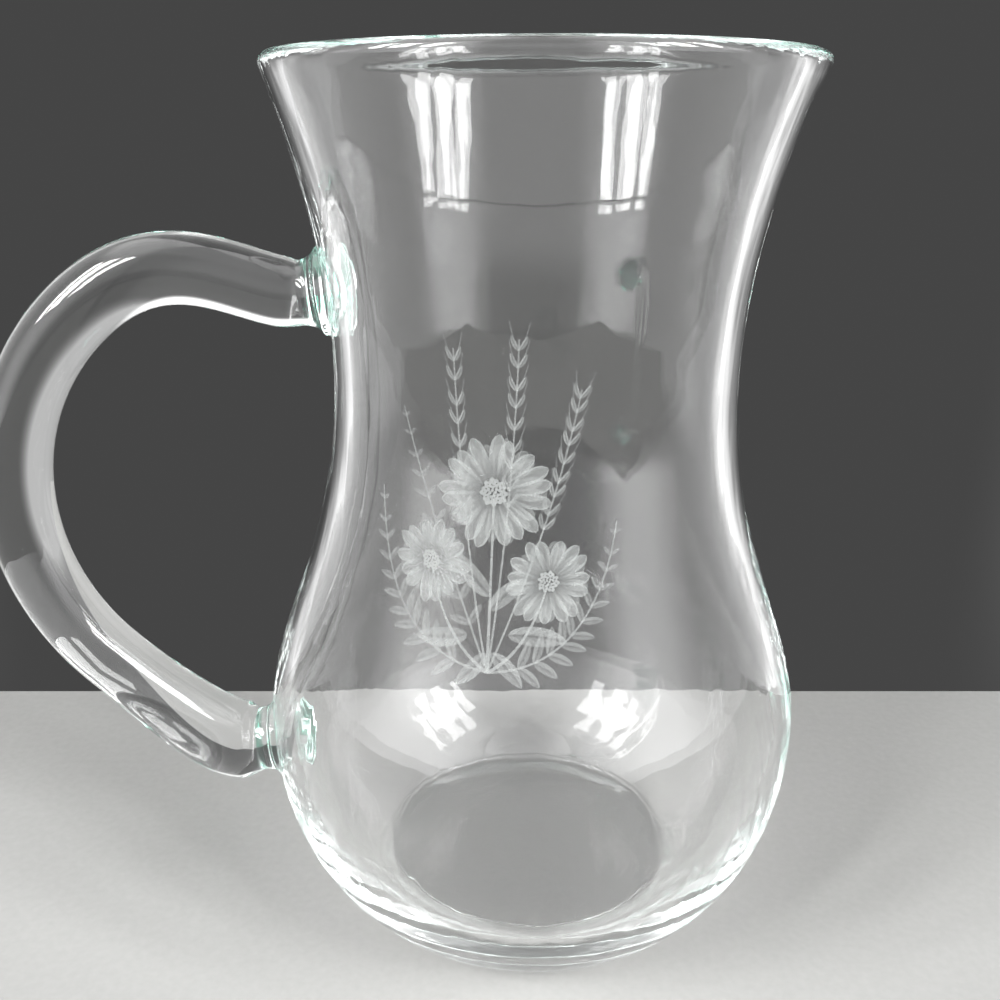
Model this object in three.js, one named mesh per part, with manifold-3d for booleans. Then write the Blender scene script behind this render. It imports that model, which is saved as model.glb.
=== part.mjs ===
// A clear glass pitcher: a blown body with a round belly, a drawn-in waist and a flared mouth,
// and a solid glass loop handle that two pressed glass pads join to the wall.
// Millimetres, +Z up. The origin is the middle of the flat base. The handle is on the -X side
// and the small pouring lip on the +X side.

import * as THREE from 'three';
import { mergeVertices } from 'three/addons/utils/BufferGeometryUtils.js';
import Module from 'manifold-3d';

// Body, outside
const HEIGHT = 225; // table to the top of the rim
const BASE_RADIUS = 44.4; // flat face that the pitcher stands on
const BELLY_RADIUS = 72;
const BELLY_HEIGHT = 57; // where the belly is widest
const WAIST_RADIUS = 51;
const WAIST_HEIGHT = 153; // where the waist is narrowest
const RIM_RADIUS = 63.8;
const BASE_RISE = THREE.MathUtils.degToRad(37); // slope of the wall where it leaves the table
const RIM_FLARE = THREE.MathUtils.degToRad(18.9); // lean of the wall at the rim

// Body, inside
const WALL = 4.6;
const BASE_THICKNESS = 7; // glass under the inner floor
const FLOOR_RADIUS = 42; // where the inner floor turns up into the wall
const FLOOR_ROUND = 1; // how far the turn reaches along the floor and up the wall

// How far each wall curve keeps its direction, as a share of its own rise
const BASE_HOLD = 0.14;
const BELLY_HOLD_BELOW = 0.675;
const BELLY_HOLD_ABOVE = 0.28;
const WAIST_HOLD_BELOW = 0.51;
const WAIST_HOLD_ABOVE = 0.235;
const RIM_HOLD = 0.53;

// Pouring lip
const LIP_PULL = 2.2; // how far the rim is drawn out
const LIP_DEPTH = 14; // how far below the rim the pull begins
const LIP_HALF_ANGLE = THREE.MathUtils.degToRad(26);

// Pads between the wall and the handle
const UPPER_JOINT_HEIGHT = 171.2;
const LOWER_JOINT_HEIGHT = 42.8;
const PAD_RADIUS = 11;
const PAD_THICKNESS = 6.2; // wall to the end of the handle
const PAD_EDGE = 2; // straight part of the pad's side
const PAD_HOLLOW = 0.75; // how hollow its flank is: 0.5 is a straight cone, 1 the deepest hollow
const PAD_ROOT = 4; // depth of the blank that is cut back to the round wall
const JOINT_GAP = 0.3; // between neighbouring pieces of glass

// Handle rod
const HANDLE_REACH = 136.9; // pitcher's axis to the rod's middle at its furthest point
const BOW_RADIUS = 67; // round part of the loop, at the rod's middle
const BOW_LIFT = 8.7; // bow's centre above the middle of the two joints
const BOW_TOP_ANGLE = THREE.MathUtils.degToRad(48.7);
const BOW_BOTTOM_ANGLE = THREE.MathUtils.degToRad(-44.6);
const UPPER_RUN = 13.4; // how far the rod keeps straight out of the upper pad
const UPPER_SWEEP = 32.9; // how far it keeps to the bow's line at the top
const LOWER_SWEEP = 39; // the same where the bow ends
const LOWER_RUN = 8.5; // how far it keeps straight out of the lower pad
const UPPER_NECK_RADIUS = 8;
const SHOULDER_RADIUS = 8.7;
const GRIP_RADIUS = 9.1;
const HEEL_RADIUS = 11;
const LOWER_NECK_RADIUS = 8.8;
const UPPER_NECK_LENGTH = 5.5; // neck to shoulder, along the rod
const SHOULDER_LENGTH = 55; // shoulder to the full grip
const HEEL_LENGTH = 43; // full grip to the heel
const LOWER_NECK_LENGTH = 5.4; // heel to the lower neck

// Facets
const AROUND_BODY = 56;
const STEPS_OUTSIDE = 10; // for each of the three wall curves
const STEPS_INSIDE = 8;
const STEPS_RIM = 10;
const STEPS_FLOOR = 3;
const AROUND_PAD = 28;
const STEPS_PAD = 4;
const AROUND_ROD = 20;
const STEPS_ROD = 72;
const HALVINGS = 40; // halvings that find a height on the wall curve

const CLEAR_GLASS = { color: 0xdfe8e4, roughness: 0.04, metalness: 0, transparent: true, opacity: 0.35 };
const PAD_GLASS = { ...CLEAR_GLASS, color: 0xcfe2dc };

const wasm = await Module();
wasm.setup();

const vec = (x, y) => new THREE.Vector2(x, y);
const baseDirection = vec(Math.cos(BASE_RISE), Math.sin(BASE_RISE));
const rimDirection = vec(Math.sin(RIM_FLARE), Math.cos(RIM_FLARE));

// Three curves from a foot up through the belly and the waist to the mouth, as (radius, height)
function wallCurve(foot, bellyRadius, waistRadius, mouth) {
  const bellyRise = BELLY_HEIGHT - foot.y;
  const waistRise = WAIST_HEIGHT - BELLY_HEIGHT;
  const mouthRise = mouth.y - WAIST_HEIGHT;
  const belly = vec(bellyRadius, BELLY_HEIGHT);
  const waist = vec(waistRadius, WAIST_HEIGHT);
  const path = new THREE.CurvePath();
  path.add(new THREE.CubicBezierCurve(
    foot,
    foot.clone().add(baseDirection.clone().multiplyScalar(BASE_HOLD * bellyRise)),
    vec(bellyRadius, BELLY_HEIGHT - BELLY_HOLD_BELOW * bellyRise),
    belly,
  ));
  path.add(new THREE.CubicBezierCurve(
    belly,
    vec(bellyRadius, BELLY_HEIGHT + BELLY_HOLD_ABOVE * waistRise),
    vec(waistRadius, WAIST_HEIGHT - WAIST_HOLD_BELOW * waistRise),
    waist,
  ));
  path.add(new THREE.CubicBezierCurve(
    waist,
    vec(waistRadius, WAIST_HEIGHT + WAIST_HOLD_ABOVE * mouthRise),
    mouth.clone().sub(rimDirection.clone().multiplyScalar(RIM_HOLD * mouthRise)),
    mouth,
  ));
  return path;
}

// The fire-polished rim is a half round whose ends meet the outer and inner walls
const rimCentre = vec(RIM_RADIUS - WALL / 2, HEIGHT - WALL / 2);
const rimNormal = vec(rimDirection.y, -rimDirection.x).multiplyScalar(WALL / 2);
const outerRim = rimCentre.clone().add(rimNormal);
const innerRim = rimCentre.clone().sub(rimNormal);
const outerWall = wallCurve(vec(BASE_RADIUS, 0), BELLY_RADIUS, WAIST_RADIUS, outerRim);

const floorCorner = vec(FLOOR_RADIUS, BASE_THICKNESS);
const innerFoot = floorCorner.clone().add(baseDirection.clone().multiplyScalar(FLOOR_ROUND));
const innerWall = wallCurve(innerFoot, BELLY_RADIUS - WALL, WAIST_RADIUS - WALL, innerRim);

function lathe(profile) {
  const geometry = new THREE.LatheGeometry(profile, AROUND_BODY);
  geometry.rotateX(Math.PI / 2);
  return geometry;
}

// Draws the rim out on the +X side, most at the top and in the middle of the lip
function pullLip(geometry) {
  const position = geometry.attributes.position;
  for (let i = 0; i < position.count; i += 1) {
    const x = position.getX(i);
    const y = position.getY(i);
    const angle = Math.abs(Math.atan2(y, x));
    const up = THREE.MathUtils.clamp((position.getZ(i) - HEIGHT + LIP_DEPTH) / LIP_DEPTH, 0, 1);
    if (up > 0 && angle < LIP_HALF_ANGLE) {
      const across = Math.cos((angle / LIP_HALF_ANGLE) * (Math.PI / 2)) ** 2;
      const grow = 1 + (LIP_PULL * across * up ** 2) / Math.hypot(x, y);
      position.setX(i, x * grow);
      position.setY(i, y * grow);
    }
  }
}

function bodyGeometry() {
  const rim = new THREE.EllipseCurve(
    rimCentre.x, rimCentre.y, WALL / 2, WALL / 2, -RIM_FLARE, Math.PI - RIM_FLARE, false,
  );
  const floorTurn = new THREE.QuadraticBezierCurve(
    innerFoot, floorCorner, floorCorner.clone().sub(vec(FLOOR_ROUND, 0)),
  );
  const profile = [
    vec(0, 0),
    ...outerWall.getPoints(STEPS_OUTSIDE),
    ...rim.getPoints(STEPS_RIM).slice(1, -1),
    ...innerWall.getPoints(STEPS_INSIDE).reverse(),
    ...floorTurn.getPoints(STEPS_FLOOR).slice(1),
    vec(0, BASE_THICKNESS),
  ];
  const geometry = lathe(profile);
  pullLip(geometry);
  return geometry;
}

// The outside of the wall at a height: its radius and the way it faces, as (outward, up)
function wallAt(height) {
  let low = 0;
  let high = 1;
  for (let i = 0; i < HALVINGS; i += 1) {
    const middle = (low + high) / 2;
    if (outerWall.getPoint(middle).y < height) low = middle;
    else high = middle;
  }
  const along = outerWall.getTangent(low);
  return { point: outerWall.getPoint(low), facing: vec(along.y, -along.x) };
}

function solidFrom(geometry) {
  const bare = geometry.clone();
  bare.deleteAttribute('normal');
  bare.deleteAttribute('uv');
  const merged = mergeVertices(bare);
  const corners = merged.index.array;
  const triangles = [];
  for (let i = 0; i < corners.length; i += 3) {
    const [a, b, c] = corners.slice(i, i + 3);
    if (a !== b && b !== c && c !== a) triangles.push(a, b, c);
  }
  return new wasm.Manifold(new wasm.Mesh({
    numProp: 3,
    vertProperties: new Float32Array(merged.attributes.position.array),
    triVerts: new Uint32Array(triangles),
  }));
}

function geometryFrom(solid) {
  const mesh = solid.getMesh();
  const geometry = new THREE.BufferGeometry();
  geometry.setAttribute('position', new THREE.BufferAttribute(new Float32Array(mesh.vertProperties), 3));
  geometry.setIndex(new THREE.BufferAttribute(new Uint32Array(mesh.triVerts), 1));
  geometry.computeVertexNormals();
  return geometry;
}

// The body's outside, grown by the gap, which the pads are cut back to
function wallCutter() {
  const points = outerWall.getPoints(STEPS_OUTSIDE);
  const grown = points.map((point, i) => {
    const before = points[Math.max(i - 1, 0)];
    const after = points[Math.min(i + 1, points.length - 1)];
    const along = after.clone().sub(before).normalize();
    return point.clone().add(vec(along.y, -along.x).multiplyScalar(JOINT_GAP));
  });
  return lathe([vec(0, grown[0].y), ...grown, vec(0, grown[grown.length - 1].y)]);
}

// A place on the wall for a pad: +X of the frame points out along the handle
function jointFrame(wall) {
  const out = new THREE.Vector3(wall.facing.x, 0, wall.facing.y);
  const turn = new THREE.Quaternion().setFromUnitVectors(new THREE.Vector3(0, 0, 1), out);
  return new THREE.Matrix4().compose(
    new THREE.Vector3(wall.point.x, 0, wall.point.y), turn, new THREE.Vector3(1, 1, 1),
  );
}

// A pressed disc that narrows in a hollow curve to the rod's neck
function padMesh(name, wall, neckRadius) {
  const bend = vec(
    THREE.MathUtils.lerp(PAD_RADIUS, neckRadius, PAD_HOLLOW),
    THREE.MathUtils.lerp(PAD_THICKNESS, PAD_EDGE, PAD_HOLLOW),
  );
  const flank = new THREE.QuadraticBezierCurve(
    vec(PAD_RADIUS, PAD_EDGE), bend, vec(neckRadius, PAD_THICKNESS),
  );
  const profile = [
    vec(0, -PAD_ROOT),
    vec(PAD_RADIUS, -PAD_ROOT),
    ...flank.getPoints(STEPS_PAD),
    vec(0, PAD_THICKNESS),
  ];
  const blank = new THREE.LatheGeometry(profile, AROUND_PAD);
  blank.rotateX(Math.PI / 2);
  const frame = jointFrame(wall);
  const cutter = wallCutter().applyMatrix4(frame.clone().invert());
  const solid = solidFrom(blank).subtract(solidFrom(cutter));
  const mesh = new THREE.Mesh(geometryFrom(solid), new THREE.MeshStandardMaterial(PAD_GLASS));
  mesh.name = name;
  mesh.applyMatrix4(frame);
  return mesh;
}

// The rod's middle line as (outward, up): out of the upper pad, round the bow, into the lower pad
function rodPath(upper, lower) {
  const bowCentre = vec(
    HANDLE_REACH - BOW_RADIUS,
    (UPPER_JOINT_HEIGHT + LOWER_JOINT_HEIGHT) / 2 + BOW_LIFT,
  );
  const onBow = (angle) => bowCentre.clone().add(
    vec(Math.cos(angle), Math.sin(angle)).multiplyScalar(BOW_RADIUS),
  );
  const downBow = (angle) => vec(Math.sin(angle), -Math.cos(angle));
  const endAt = (wall) => wall.point.clone().add(
    wall.facing.clone().multiplyScalar(PAD_THICKNESS + JOINT_GAP),
  );
  const start = endAt(upper);
  const end = endAt(lower);
  const bowTop = onBow(BOW_TOP_ANGLE);
  const bowBottom = onBow(BOW_BOTTOM_ANGLE);
  const path = new THREE.CurvePath();
  path.add(new THREE.CubicBezierCurve(
    start,
    start.clone().add(upper.facing.clone().multiplyScalar(UPPER_RUN)),
    bowTop.clone().sub(downBow(BOW_TOP_ANGLE).multiplyScalar(UPPER_SWEEP)),
    bowTop,
  ));
  path.add(new THREE.EllipseCurve(
    bowCentre.x, bowCentre.y, BOW_RADIUS, BOW_RADIUS, BOW_TOP_ANGLE, BOW_BOTTOM_ANGLE, true,
  ));
  path.add(new THREE.CubicBezierCurve(
    bowBottom,
    bowBottom.clone().add(downBow(BOW_BOTTOM_ANGLE).multiplyScalar(LOWER_SWEEP)),
    end.clone().add(lower.facing.clone().multiplyScalar(LOWER_RUN)),
    end,
  ));
  return path;
}

// The rod's radius at a distance from its upper end, eased between the named places
function rodRadius(distance, length) {
  const heel = length - LOWER_NECK_LENGTH;
  const places = [
    [0, UPPER_NECK_RADIUS],
    [UPPER_NECK_LENGTH, SHOULDER_RADIUS],
    [UPPER_NECK_LENGTH + SHOULDER_LENGTH, GRIP_RADIUS],
    [heel - HEEL_LENGTH, GRIP_RADIUS],
    [heel, HEEL_RADIUS],
    [length, LOWER_NECK_RADIUS],
  ];
  const next = Math.max(places.findIndex(([place]) => place >= distance), 1);
  const [from, fromRadius] = places[next - 1];
  const [to, toRadius] = places[next];
  return THREE.MathUtils.lerp(fromRadius, toRadius, THREE.MathUtils.smoothstep(distance, from, to));
}

// A round rod of changing thickness along a flat path, with a flat disc at each end
function rodGeometry(path) {
  const length = path.getLength();
  const positions = [];
  const index = [];
  for (let step = 0; step <= STEPS_ROD; step += 1) {
    const share = step / STEPS_ROD;
    const middle = path.getPoint(share);
    const along = path.getTangent(share);
    const radius = rodRadius(share * length, length);
    for (let side = 0; side < AROUND_ROD; side += 1) {
      const angle = (side / AROUND_ROD) * Math.PI * 2;
      const lift = radius * Math.cos(angle);
      positions.push(middle.x - along.y * lift, radius * Math.sin(angle), middle.y + along.x * lift);
    }
  }
  for (let step = 0; step < STEPS_ROD; step += 1) {
    for (let side = 0; side < AROUND_ROD; side += 1) {
      const here = step * AROUND_ROD + side;
      const beside = step * AROUND_ROD + ((side + 1) % AROUND_ROD);
      index.push(here, here + AROUND_ROD, beside, beside, here + AROUND_ROD, beside + AROUND_ROD);
    }
  }
  const lastRing = STEPS_ROD * AROUND_ROD;
  const firstMiddle = positions.length / 3;
  const lastMiddle = firstMiddle + 1;
  for (const end of [path.getPoint(0), path.getPoint(1)]) positions.push(end.x, 0, end.y);
  for (let side = 0; side < AROUND_ROD; side += 1) {
    const beside = (side + 1) % AROUND_ROD;
    index.push(firstMiddle, side, beside);
    index.push(lastMiddle, lastRing + beside, lastRing + side);
  }
  const geometry = new THREE.BufferGeometry();
  geometry.setAttribute('position', new THREE.Float32BufferAttribute(positions, 3));
  geometry.setIndex(index);
  geometry.computeVertexNormals();
  return geometry;
}

const body = new THREE.Mesh(bodyGeometry(), new THREE.MeshStandardMaterial(CLEAR_GLASS));
body.name = 'body';

// The handle and its pads are drawn with +X outward, then turned to the -X side
const upperWall = wallAt(UPPER_JOINT_HEIGHT);
const lowerWall = wallAt(LOWER_JOINT_HEIGHT);
const handle = new THREE.Mesh(
  rodGeometry(rodPath(upperWall, lowerWall)), new THREE.MeshStandardMaterial(CLEAR_GLASS),
);
handle.name = 'handle';
const handleSide = new THREE.Group();
handleSide.rotation.z = Math.PI;
handleSide.add(
  handle,
  padMesh('upper_handle_pad', upperWall, UPPER_NECK_RADIUS),
  padMesh('lower_handle_pad', lowerWall, LOWER_NECK_RADIUS),
);

const pitcher = new THREE.Group();
pitcher.add(body, handleSide);

export default pitcher;
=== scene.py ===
# %% [markdown]
# # A clear glass pitcher with a frosted spray
# The real pitcher is a bowl of blown glass with a solid glass rod bent round for a handle. The rod is
# pressed on to the hot wall at two places, and each place spreads into a round pad.
# The CAD frame holds those four solids, cut in flat facets so that they stay light. Clear glass shows
# every facet, so each solid is built here again as a fine skin, from the same curves and sizes.

# %% Load the frame
import math

import bmesh
import bpy
import numpy as np
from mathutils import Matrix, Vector


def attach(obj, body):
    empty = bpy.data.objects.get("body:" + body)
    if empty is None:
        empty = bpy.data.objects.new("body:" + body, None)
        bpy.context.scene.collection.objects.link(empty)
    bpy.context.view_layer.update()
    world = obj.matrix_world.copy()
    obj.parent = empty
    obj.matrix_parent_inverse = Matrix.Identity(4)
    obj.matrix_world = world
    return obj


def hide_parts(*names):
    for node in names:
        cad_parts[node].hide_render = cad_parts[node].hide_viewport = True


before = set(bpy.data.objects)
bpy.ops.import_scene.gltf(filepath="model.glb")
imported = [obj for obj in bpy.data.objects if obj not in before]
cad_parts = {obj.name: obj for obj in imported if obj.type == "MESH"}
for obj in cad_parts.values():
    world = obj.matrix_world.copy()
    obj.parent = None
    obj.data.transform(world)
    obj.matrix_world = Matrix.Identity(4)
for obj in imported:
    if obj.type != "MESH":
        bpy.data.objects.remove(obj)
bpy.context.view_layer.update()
print("CAD nodes:", sorted(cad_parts))

# %% [markdown]
# ## Sizes
# A glass blower thinks in a few sizes: how high, how wide at the belly, the waist and the rim, and how
# thick the wall is. They are the sizes of the CAD part, in millimetres and degrees. The "hold" values
# say how long the curve keeps its direction at a station, as a share of the height to the next one.

# %% Sizes of the bowl
MM = 0.001
HEIGHT = 225.0
BASE_RADIUS = 44.4
BELLY_RADIUS = 72.0
BELLY_HEIGHT = 57.0
WAIST_RADIUS = 51.0
WAIST_HEIGHT = 153.0
RIM_RADIUS = 63.8
BASE_RISE = math.radians(37)
RIM_FLARE = math.radians(18.9)
WALL = 4.6
BASE_THICKNESS = 7.0
FLOOR_RADIUS = 42.0
FLOOR_ROUND = 1.0
BASE_ROUND = 1.6
BASE_HOLD = 0.14
BELLY_HOLD_BELOW = 0.675
BELLY_HOLD_ABOVE = 0.28
WAIST_HOLD_BELOW = 0.51
WAIST_HOLD_ABOVE = 0.235
RIM_HOLD = 0.53
LIP_PULL = 2.2
LIP_DEPTH = 14.0
LIP_HALF_ANGLE = math.radians(26)
print("bowl:", HEIGHT, "mm high,", 2 * BELLY_RADIUS, "mm across the belly")

# %% [markdown]
# ## Sizes of the handle
# The rod's line is set by how far it reaches out, by the circle of its bow and by how long it keeps
# straight at either end. Its thickness is given at five places along it. A pad has a radius, a
# thickness and an edge. The gap is the hair between pieces that are fused on the real pitcher.

# %% Sizes of the handle and its pads
UPPER_JOINT_HEIGHT = 171.2
LOWER_JOINT_HEIGHT = 42.8
PAD_RADIUS = 11.0
PAD_THICKNESS = 6.2
PAD_EDGE = 2.0
PAD_HOLLOW = 0.75
PAD_ROUND = 0.9
HANDLE_REACH = 136.9
BOW_RADIUS = 67.0
BOW_LIFT = 8.7
BOW_TOP_ANGLE = math.radians(48.7)
BOW_BOTTOM_ANGLE = math.radians(-44.6)
UPPER_RUN = 13.4
UPPER_SWEEP = 32.9
LOWER_SWEEP = 39.0
LOWER_RUN = 8.5
UPPER_NECK_RADIUS = 8.0
SHOULDER_RADIUS = 8.7
GRIP_RADIUS = 9.1
HEEL_RADIUS = 11.0
LOWER_NECK_RADIUS = 8.8
UPPER_NECK_LENGTH = 5.5
SHOULDER_LENGTH = 55.0
HEEL_LENGTH = 43.0
LOWER_NECK_LENGTH = 5.4
FUSED_GAP = 0.02
print("handle reaches", HANDLE_REACH + GRIP_RADIUS, "mm from the axis")

# %% [markdown]
# ## The camera
# The camera stands where the photograph was taken: close by, a little under the rim's height, looking
# down at the belly. A short lens that close gives the strong taper from rim to base.

# %% Camera
IMAGE_SIDE = 1000
FOCAL_PIXELS = 1026
PRINCIPAL_PIXEL = 486.3
CAMERA_PLACE = (-0.0124, -0.2562, 0.2113)
CAMERA_DIP = math.radians(20.44)

camera_data = bpy.data.cameras.new("camera")
camera_data.sensor_width = 36.0
camera_data.lens = camera_data.sensor_width * FOCAL_PIXELS / IMAGE_SIDE
camera_data.shift_x = (IMAGE_SIDE / 2 - PRINCIPAL_PIXEL) / IMAGE_SIDE
camera_data.clip_start = 0.01
camera = bpy.data.objects.new("camera", camera_data)
camera.location = CAMERA_PLACE
camera.rotation_euler = (math.pi / 2 - CAMERA_DIP, 0, 0)
bpy.context.scene.collection.objects.link(camera)
bpy.context.scene.camera = camera
bpy.context.scene.view_settings.view_transform = "Standard"
print("lens", round(camera_data.lens, 2), "mm, shift", round(camera_data.shift_x, 4))

# %% [markdown]
# ## The line of the wall
# A blown bowl is a turned form, so one line in (radius, height) describes it. The line could be traced
# point by point, but three Bezier curves that meet at the belly and at the waist need only a few
# numbers and stay smooth, which is what reflections in glass ask for.

# %% Curves
BASE_DIRECTION = np.array([math.cos(BASE_RISE), math.sin(BASE_RISE)])
RIM_DIRECTION = np.array([math.sin(RIM_FLARE), math.cos(RIM_FLARE)])
RIM_ACROSS = np.array([math.cos(RIM_FLARE), -math.sin(RIM_FLARE)])
RIM_CENTRE = np.array([RIM_RADIUS - WALL / 2, HEIGHT - WALL / 2])


def bezier(controls, steps):
    """Points along a Bezier curve of any order, with both ends."""
    along = np.linspace(0, 1, steps + 1)[:, None]
    row = [np.asarray(point, float)[None, :] for point in controls]
    while len(row) > 1:
        row = [near * (1 - along) + far * along for near, far in zip(row, row[1:])]
    return row[0]


def wall_line(foot, belly, waist, mouth, steps):
    """One face of the wall from its foot to its mouth, as rows of (radius, height)."""
    swell = BELLY_HEIGHT - foot[1]
    draw = WAIST_HEIGHT - BELLY_HEIGHT
    spread = mouth[1] - WAIST_HEIGHT
    lower = bezier(
        [foot, foot + BASE_DIRECTION * BASE_HOLD * swell,
         (belly, BELLY_HEIGHT - BELLY_HOLD_BELOW * swell), (belly, BELLY_HEIGHT)], steps[0])
    middle = bezier(
        [(belly, BELLY_HEIGHT), (belly, BELLY_HEIGHT + BELLY_HOLD_ABOVE * draw),
         (waist, WAIST_HEIGHT - WAIST_HOLD_BELOW * draw), (waist, WAIST_HEIGHT)], steps[1])
    upper = bezier(
        [(waist, WAIST_HEIGHT), (waist, WAIST_HEIGHT + WAIST_HOLD_ABOVE * spread),
         mouth - RIM_DIRECTION * RIM_HOLD * spread, mouth], steps[2])
    return np.vstack([lower[:-1], middle[:-1], upper])


OUTER_FOOT = np.array([BASE_RADIUS, 0.0])
OUTER_MOUTH = RIM_CENTRE + RIM_ACROSS * WALL / 2
INNER_MOUTH = RIM_CENTRE - RIM_ACROSS * WALL / 2
FLOOR_EDGE = np.array([FLOOR_RADIUS, BASE_THICKNESS])
INNER_FOOT = FLOOR_EDGE + BASE_DIRECTION * FLOOR_ROUND
FINE_STEPS = (600, 600, 600)
outer_fine = wall_line(OUTER_FOOT, BELLY_RADIUS, WAIST_RADIUS, OUTER_MOUTH, FINE_STEPS)


def outer_radius(height):
    """The bowl's outer radius at a height."""
    return np.interp(height, outer_fine[:, 1], outer_fine[:, 0])


def lip_push(angle, height):
    """How far the mouth is pulled outwards there to make the pouring lip."""
    turn = np.abs((np.asarray(angle) + math.pi) % (2 * math.pi) - math.pi)
    across = np.where(turn < LIP_HALF_ANGLE, np.cos(math.pi / 2 * turn / LIP_HALF_ANGLE) ** 2, 0)
    up = np.clip((height - HEIGHT + LIP_DEPTH) / LIP_DEPTH, 0, 1)
    return LIP_PULL * across * up ** 2


print("outer radius at mid height:", round(float(outer_radius(HEIGHT / 2)), 2), "mm")

# %% [markdown]
# ## From rings to a mesh
# Every piece here is a stack of rings: the turned bowl, the round pads and the bent rod. A small
# helper keeps the points and the faces, and remembers which finish each face has. Where two finishes
# meet the edge is marked sharp, so that each side keeps its own smooth shading.

# %% Ring builder
class Skin:
    """Points in millimetres and the faces between them, before they become a mesh."""

    def __init__(self):
        self.points = []
        self.faces = []
        self.finishes = []

    def ring(self, points):
        first = len(self.points)
        self.points.extend(np.asarray(points, float))
        return list(range(first, len(self.points)))

    def face(self, corners, finish):
        self.faces.append(corners)
        self.finishes.append(finish)

    def band(self, lower, upper, finish=0, skip=()):
        """Quads from one ring to the next, seen from outside with the rings running to the left."""
        count = len(lower)
        for i in range(count):
            following = (i + 1) % count
            if i not in skip:
                self.face((lower[i], lower[following], upper[following], upper[i]), finish)

    def stack(self, rings, finish=0):
        for lower, upper in zip(rings, rings[1:]):
            self.band(lower, upper, finish)

    def start_disc(self, centre, ring, finish=0):
        for i in range(len(ring)):
            self.face((centre, ring[(i + 1) % len(ring)], ring[i]), finish)

    def end_disc(self, ring, centre, finish=0):
        for i in range(len(ring)):
            self.face((ring[i], ring[(i + 1) % len(ring)], centre), finish)


def mesh_piece(name, skin, finishes):
    """A smooth-shaded mesh object of a skin, in metres, linked to the scene."""
    build = bmesh.new()
    corners = [build.verts.new(point * MM) for point in skin.points]
    for face, finish in zip(skin.faces, skin.finishes):
        made = build.faces.new([corners[i] for i in face])
        made.smooth = True
        made.material_index = finish
    for edge in build.edges:
        edge.smooth = len({face.material_index for face in edge.link_faces}) < 2
    mesh = bpy.data.meshes.new(name)
    build.to_mesh(mesh)
    build.free()
    for finish in finishes:
        mesh.materials.append(finish)
    piece = bpy.data.objects.new(name, mesh)
    bpy.context.scene.collection.objects.link(piece)
    print(name, "has", len(mesh.polygons), "faces")
    return piece


# %% [markdown]
# ## Shader sums
# The finishes below need a little arithmetic on noise. Writing it as Python sums is easier to read
# than a list of nodes, so a small class stands for a socket and turns each operator into a Math node.

# %% Shader helper
class Flow:
    """A shader socket that takes part in Python sums."""

    def __init__(self, sheet, socket):
        self.sheet = sheet
        self.socket = socket

    def out(self, name):
        """Another output of the same node."""
        return Flow(self.sheet, self.socket.node.outputs[name])

    def sum(self, operation, first, second):
        return self.sheet.node("ShaderNodeMath", {"operation": operation}, {0: first, 1: second})

    def __add__(self, other):
        return self.sum("ADD", self, other)

    def __radd__(self, other):
        return self.sum("ADD", other, self)

    def __sub__(self, other):
        return self.sum("SUBTRACT", self, other)

    def __rsub__(self, other):
        return self.sum("SUBTRACT", other, self)

    def __mul__(self, other):
        return self.sum("MULTIPLY", self, other)

    def __rmul__(self, other):
        return self.sum("MULTIPLY", other, self)


class ShaderSheet:
    """The node tree of one finish, cleared and ready."""

    def __init__(self, tree):
        self.tree = tree
        tree.nodes.clear()

    def node(self, kind, settings=None, sockets=None, output=0):
        made = self.tree.nodes.new(kind)
        for key, value in (settings or {}).items():
            setattr(made, key, value)
        for key, value in (sockets or {}).items():
            if isinstance(value, Flow):
                self.tree.links.new(value.socket, made.inputs[key])
            else:
                made.inputs[key].default_value = value
        return Flow(self, made.outputs[output]) if len(made.outputs) else None

    def between(self, low, high, value):
        """0 below low, 1 above high, and smooth in between."""
        return self.node(
            "ShaderNodeMapRange", {"interpolation_type": "SMOOTHSTEP"},
            {"Value": value, "From Min": low, "From Max": high})

    def mixed(self, first, second, share):
        """A colour between two, by their places on the Mix node's sockets."""
        return self.node(
            "ShaderNodeMix", {"data_type": "RGBA"}, {"Factor": share, 6: first, 7: second}, output=2)


def new_finish(name):
    material = bpy.data.materials.new(name)
    material.use_nodes = True
    return material, ShaderSheet(material.node_tree)


print("shader helper ready")

# %% [markdown]
# ## Clear glass
# Blown soda-lime glass is clear, bends light at an index of about 1.5 and looks faintly aqua where it
# is thick. The tint is a volume absorption, so that thin walls stay colourless and the pads do not.
# The surface is fire-polished: the detail is a slow waviness with fine streaks from the blowing, and
# a little dust and wiping marks in the roughness.

# %% Clear glass
GLASS_INDEX = 1.5
GLASS_TINT = (0.83, 0.93, 0.905, 1.0)
GLASS_DENSITY = 2.0
WAVE_SCALE = 38.0
STREAK_SCALE = 190.0
STREAK_STRETCH = (1.0, 1.0, 0.14)
SMEAR_SCALE = 55.0
SMEAR_RANGE = (0.5, 0.75)
SMEAR_ROUGHNESS = 0.02
DUST_SCALE = 900.0
DUST_RANGE = (0.74, 0.8)
DUST_ROUGHNESS = 0.06
POLISHED_ROUGHNESS = 0.004


def add_glass_volume(sheet):
    return sheet.node(
        "ShaderNodeVolumeAbsorption", None, {"Color": GLASS_TINT, "Density": GLASS_DENSITY})


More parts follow.
